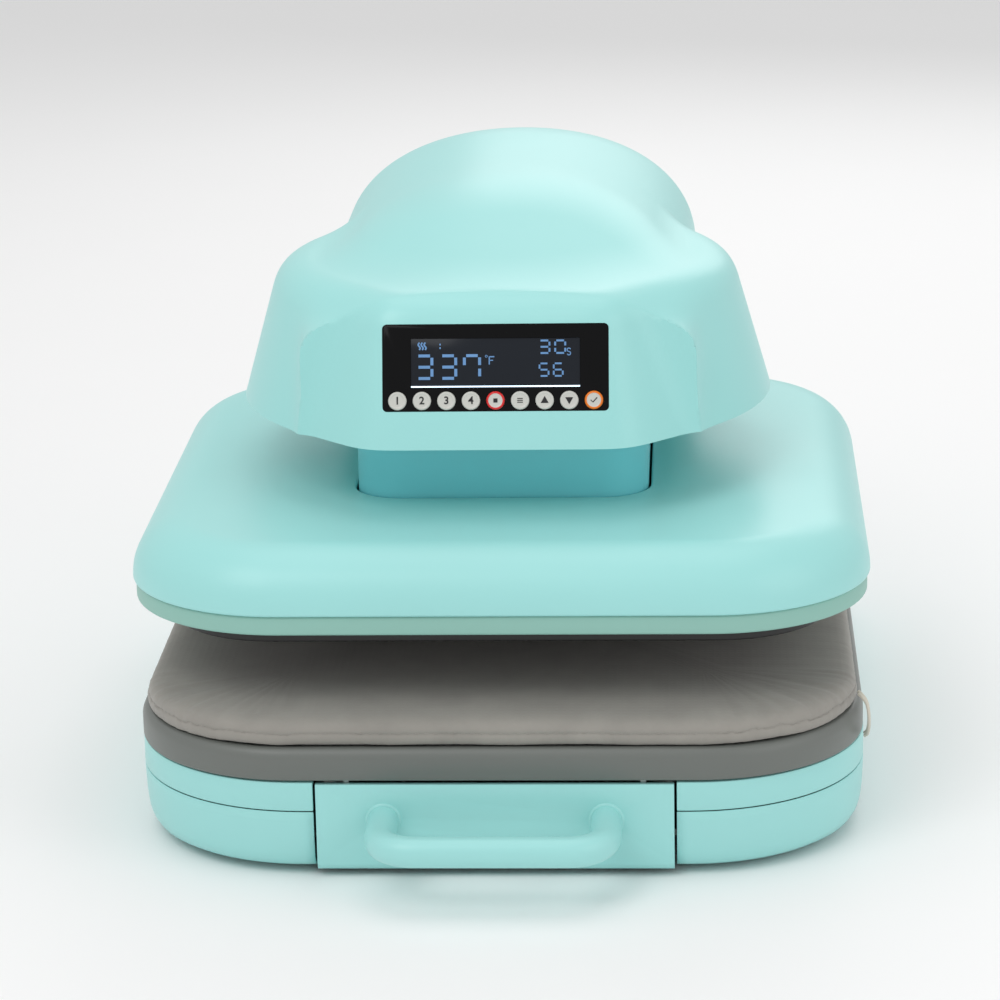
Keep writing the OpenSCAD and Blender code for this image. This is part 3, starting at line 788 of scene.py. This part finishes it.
def numeral(text, cx, z):
    """A numeral as mesh shapes, from Blender's own plain font."""
    data = bpy.data.curves.new("numeral", "FONT")
    data.body = text
    data.size = 0.0062
    data.align_x, data.align_y = "CENTER", "CENTER"
    data.extrude = 0.00006
    data.offset = 0.00012
    holder = bpy.data.objects.new("numeral", data)
    bpy.context.scene.collection.objects.link(holder)
    graph = bpy.context.evaluated_depsgraph_get()
    graph.update()
    mesh = bpy.data.meshes.new_from_object(holder.evaluated_get(graph))
    verts = [FACE @ Vector((cx + v.co.x, KEY_ROW + v.co.y, z + 0.00006 + v.co.z)) for v in mesh.vertices]
    faces = [tuple(p.vertices) for p in mesh.polygons]
    bpy.data.objects.remove(holder)
    return verts, faces


def make_keys():
    sides = 40
    for i in range(KEY_COUNT):
        cx = (i - (KEY_COUNT - 1) / 2) * KEY_PITCH
        rings = [[FACE @ Vector((cx + r * math.cos(a), KEY_ROW + r * math.sin(a), z))
                  for a in (2 * math.pi * k / sides for k in range(sides))]
                 for r, z in key_profile()[1:]]
        points = [p for ring in rings for p in ring]
        faces, paints = [], []
        for j in range(len(rings) - 1):
            for k in range(sides):
                faces.append((j * sides + k, (j + 1) * sides + k,
                              (j + 1) * sides + (k + 1) % sides, j * sides + (k + 1) % sides))
                paints.append(1 if i in (4, 8) and 2 <= j <= 5 else 0)
        faces.append(tuple(range(sides)))
        faces.append(tuple((len(rings) - 1) * sides + k for k in range(sides - 1, -1, -1)))
        paints += [0, 0]
        shapes = legend_shapes(i, cx, LEGEND_HEIGHT)
        if i < 4:
            shapes.append(numeral(str(i + 1), cx, LEGEND_HEIGHT))
        for verts, polygons in shapes:
            base = len(points)
            points += verts
            faces += [tuple(base + v for v in f) for f in polygons]
            paints += [2] * len(polygons)
        piece = add_mesh(f"key_{i + 1}_cap", points, faces)
        ring_paint = RED_RING if i == 4 else ORANGE_RING
        for material in (MATERIALS["key_silver"], ring_paint, LEGEND):
            piece.data.materials.append(material)
        for polygon, paint in zip(piece.data.polygons, paints):
            polygon.material_index = paint
        finish_piece(piece, f"key_{i + 1}_body", "key_silver", [f"key_{i + 1}"])


# ---------------------------------------------------------------- base

def open_outline(w, d, r, cy, gap):
    """A rounded rectangle left open across the middle of its front side."""
    loop = rounded(w, d, r, 0, cy, 20)
    front = cy - d / 2
    return [(gap / 2, front)] + loop + [(-gap / 2, front)]


def make_base_bowl():
    low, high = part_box("base_bowl")
    w, d = high.x - low.x, high.y - low.y
    cy = (low.y + high.y) / 2
    gap, corner = SLOT_WIDTH, BASE_CORNER
    levels = [(0.030, 0.0), (0.0135, 0.0), (0.0085, 0.0009), (0.0050, 0.0030), (0.0028, 0.0065), (0.0015, 0.0110),
              (0.0006, 0.0190), (0.0001, 0.0300), (0.0, high.z - low.z - 0.0006), (0.0004, high.z - low.z - 0.0001)]
    rings = [[Vector((x, y, low.z + z)) for x, y in open_outline(w - 2 * i, d - 2 * i, corner - i, cy, gap)]
             for i, z in levels]
    bowl = loft("base_bowl_shell", rings, closed=False)
    solidify(bowl, BOWL_WALL)
    finish_piece(bowl, "root", "shell", ["base_bowl"])


def make_handle():
    """A round bar bent to a bow, with its ends spread where they meet the drawer front."""
    low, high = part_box("grab_handle")
    r = (high.z - low.z) / 2
    cz = (low.z + high.z) / 2
    half = (high.x - low.x) / 2 - r
    y0, y1 = high.y, low.y + r
    bend = 0.021
    path = [Vector((-half, y0, cz)), Vector((-half, y0 - 0.003, cz)), Vector((-half, y0 - 0.010, cz))]
    for k in range(17):
        a = math.pi + math.pi / 2 * k / 16
        path.append(Vector((-half + bend + bend * math.cos(a), y1 + bend + bend * math.sin(a), cz)))
    right = [Vector((-p.x, p.y, p.z)) for p in reversed(path)]
    path = path + [Vector((0, y1, cz))] + right
    piece = tube("grab_handle_bar", path, r, sides=40)
    finish_piece(piece, "drawer", "shell", ["grab_handle"])
    for side in (-1, 1):
        rings = []
        for grow, y in ((0.0016, 0.0), (0.0013, -0.0006), (0.0004, -0.0010), (-0.0004, -0.0010)):
            rings.append([Vector((side * half + (r + grow) * math.cos(a), y0 + y, cz + (r + grow) * math.sin(a)))
                          for a in (2 * math.pi * k / 40 for k in range(40))])
        collar = loft("handle_collar_left" if side < 0 else "handle_collar_right", rings, cap_first=True)
        finish_piece(collar, "drawer", "shell")


# ---------------------------------------------------------------- padded lower platen

def corner_nearness(x, y, w, d, cy):
    """1 at a plan corner, 0 along the middle of a side."""
    return max(0.0, 1 - math.hypot(abs(x) - (w / 2 - 0.045), abs(y - cy) - (d / 2 - 0.045)) / 0.085)


def make_pad():
    """The fabric cover, pulled over the foam pad and gathered at its corners."""
    low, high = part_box("pad_cover")
    w, d = high.x - low.x, high.y - low.y
    cy = (low.y + high.y) / 2
    corner = 0.091
    per_corner, per_side = 64, 90
    profile = [(0.0060, 0.0000), (0.0030, -0.0002), (0.0012, 0.0006), (0.0004, 0.0022), (0.0002, 0.0042),
               (0.0006, 0.0060), (0.0011, 0.0066), (0.0013, 0.0070), (0.0011, 0.0075), (0.0014, 0.0090),
               (0.0024, 0.0108), (0.0042, 0.0124), (0.0068, 0.0135), (0.0105, 0.0143), (0.0160, 0.0148),
               (0.0260, 0.0152), (0.0400, 0.0155), (0.0560, 0.0157), (0.0780, 0.0158)]
    rings = []
    for inset, z in profile:
        loop = rounded(w - 2 * inset, d - 2 * inset, max(corner - inset, 0.012), 0, cy, per_corner, per_side)
        ring = []
        n = len(loop)
        for k, (x, y) in enumerate(loop):
            along = 2 * math.pi * k / n
            near = corner_nearness(x, y, w, d, cy)
            folds = noise.noise(Vector((math.cos(along) * 26, math.sin(along) * 26, inset * 14)))
            fine = noise.noise(Vector((math.cos(along) * 75, math.sin(along) * 75, inset * 30 + 7)))
            fade = math.exp(-inset / 0.030)
            lift = 0.0026 * near * folds * fade * (z > 0.0065)
            lift += 0.0006 * fine * fade * (z > 0.0065)
            soft = noise.noise(Vector((x * 11, y * 11, 3.1)))
            lift += 0.0006 * soft * (z > 0.010)
            pull = 0.0009 * fine * (z < 0.0068) + 0.0010 * near * folds * fade
            wave = 0.0009 * noise.noise(Vector((math.cos(along) * 9, math.sin(along) * 9, 1.7)))
            out = Vector((x, y - cy, 0)).normalized()
            ring.append(Vector((x, y, low.z + z + lift + wave * (z < 0.008))) - out * (abs(pull) + 0.0002))
        rings.append(ring)
    centre = rings[-1]
    for t in (0.75, 0.5, 0.3, 0.14, 0.05):
        rings.append([Vector((p.x * t, cy + (p.y - cy) * t, p.z + 0.0007 * (1 - t)
                              + 0.0005 * noise.noise(Vector((p.x * t * 11, p.y * t * 11, 3.1))))) for p in centre])
    piece = loft("pad_cover_cloth", rings, cap_first=False, cap_last=True, smooth_angle=80)
    for v in piece.data.vertices:
        v.co.z = min(v.co.z, high.z + 0.0001)
    finish_piece(piece, "drawer", "fabric", ["pad_cover"])
    make_hem_stitches(rings[7])
    foam = []
    for ring in rings[9:len(profile):2]:
        foam.append([p - Vector((p.x, p.y - cy, 0)).normalized() * 0.0022 - Vector((0, 0, 0.0018)) for p in ring])
    foam.insert(0, [Vector((p.x, p.y, low.z)) for p in foam[0]])
    core = loft("silicone_pad_core", foam, cap_first=True, cap_last=True)
    finish_piece(core, "drawer", "silicone", ["silicone_pad"])


def make_hem_stitches(ring):
    """A row of short stitches along the hem's upper edge."""
    points, faces = [], []
    travelled, last = 0.0, ring[0]
    pitch, length, r = 0.0040, 0.0026, 0.00028
    n = len(ring)
    for k in range(n):
        p, q = ring[k], ring[(k + 1) % n]
        travelled += (p - last).length
        last = p
        if travelled < pitch:
            continue
        travelled = 0.0
        along = (q - p).normalized()
        out = along.cross(Vector((0, 0, 1))).normalized()
        base = len(points)
        start = p + out * 0.0002
        for end, grow in ((0.0, 0.35), (0.25, 1.0), (0.75, 1.0), (1.0, 0.35)):
            c = start + along * length * end
            for a in range(6):
                turn = math.pi * a / 3
                points.append(c + out * r * grow * math.cos(turn) + Vector((0, 0, r * grow * math.sin(turn))))
        for s in range(3):
            for a in range(6):
                b = (a + 1) % 6
                faces.append((base + s * 6 + a, base + s * 6 + b, base + s * 6 + 6 + b, base + s * 6 + 6 + a))
        faces.append(tuple(base + a for a in range(5, -1, -1)))
        faces.append(tuple(base + 18 + a for a in range(6)))
    piece = add_mesh("pad_hem_stitches", points, faces)
    finish_piece(piece, "drawer", "fabric")


def make_trim_ring():
    low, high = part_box("trim_ring")
    w, d, cy = high.x - low.x, high.y - low.y, (low.y + high.y) / 2
    h = high.z - low.z
    section = [(0.010, 0.0), (0.0016, 0.0), (0.0005, 0.0004), (0.0, 0.0014), (0.0, h - 0.0062), (0.0004, h - 0.0045),
               (0.0012, h - 0.0026), (0.0024, h - 0.0011), (0.0042, h - 0.0002), (0.0058, h), (0.0090, h),
               (0.0097, h - 0.0004), (0.010, h - 0.0012)]
    rings = [[Vector((x, y, low.z + z)) for x, y in rounded(w - 2 * i, d - 2 * i, 0.098 - i, 0, cy, 24)]
             for i, z in section]
    piece = loft("trim_ring_shape", rings, cyclic=True, smooth_angle=50)
    finish_piece(piece, "drawer", "trim", ["trim_ring"])


# ---------------------------------------------------------------- everything else

ROUNDED_NODES = {
    "drawer_front": 0.0012, "neck_front": 0.0004, "neck_rear": 0.0004, "column_cover": 0.0015, "underpan": 0.0008,
    "platen_skirt": 0.0016, "heating_platen": 0.0012, "rear_panel": 0.0006, "power_inlet": 0.0006,
    "switch_frame": 0.0005, "rocker": 0.0006, "feet": 0.0010, "base_top": 0.0006,
}


def dress_frame():
    """Every CAD piece that still shows gets the material of its slot."""
    for node, piece in frame["nodes"].items():
        piece.data.materials.clear()
        piece.data.materials.append(MATERIALS[SLOT_OF[node]])


make_camera()
dress_frame()
make_drawstrings()
make_studio()
for node, bevel in ROUNDED_NODES.items():
    refined(node, bevel, material=NECK if node.startswith("neck") else None)
make_cover()
make_housing()
make_display()
make_keys()
make_base_bowl()
make_handle()
make_pad()
make_trim_ring()
